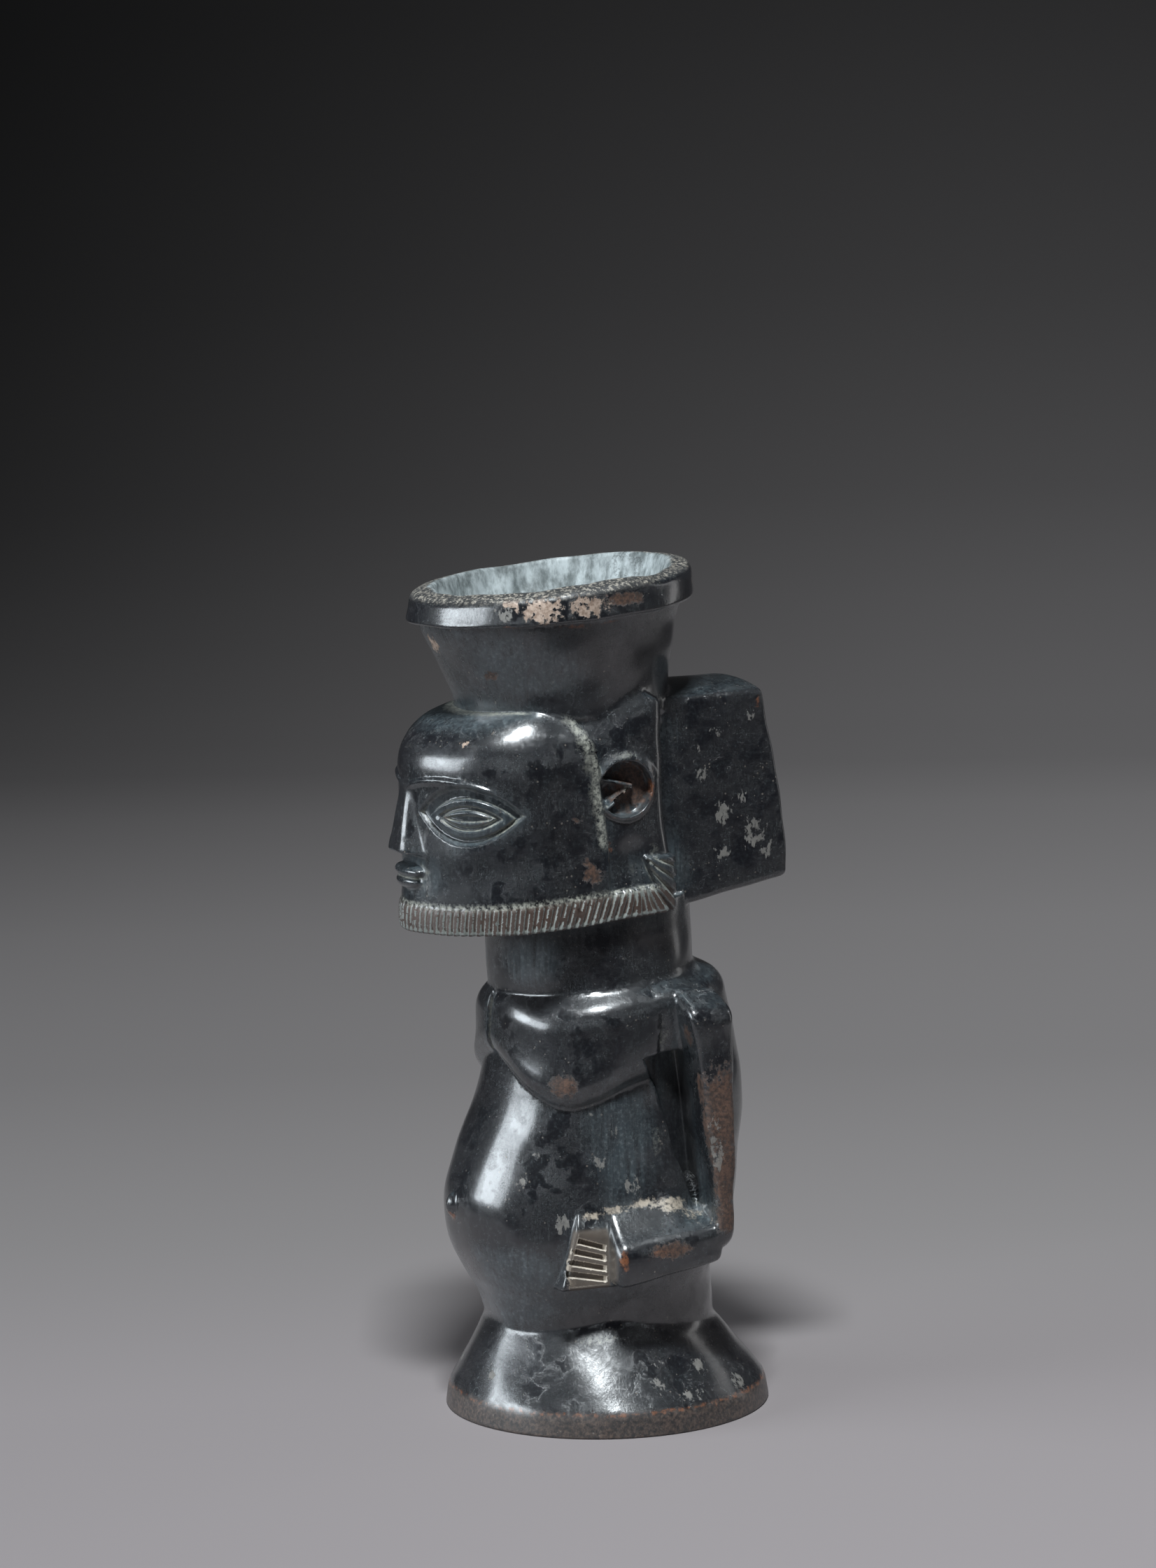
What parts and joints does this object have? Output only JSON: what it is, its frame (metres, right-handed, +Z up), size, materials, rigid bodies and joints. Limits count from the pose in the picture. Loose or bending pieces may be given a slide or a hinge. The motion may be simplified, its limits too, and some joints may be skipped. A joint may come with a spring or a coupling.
{
  "type": "carved wooden figure cup",
  "caption": "Carved wooden cup borne on the head of a half figure that stands on a flared round foot and holds its belly.",
  "frame": {"origin": "middle of the flat underside of the round foot", "axes": "+Z up along the figure, -Y where the face looks, +X on the figure's left"},
  "size_m": [0.0688, 0.0832, 0.1792],
  "materials": {
    "figure_cup": "dark brown to black, rubbed to a gloss, worn and chipped at its edges, with dust in its creases"
  },
  "bodies": {
    "root": {"figure_cup": "figure_cup"}
  },
  "joints": []
}
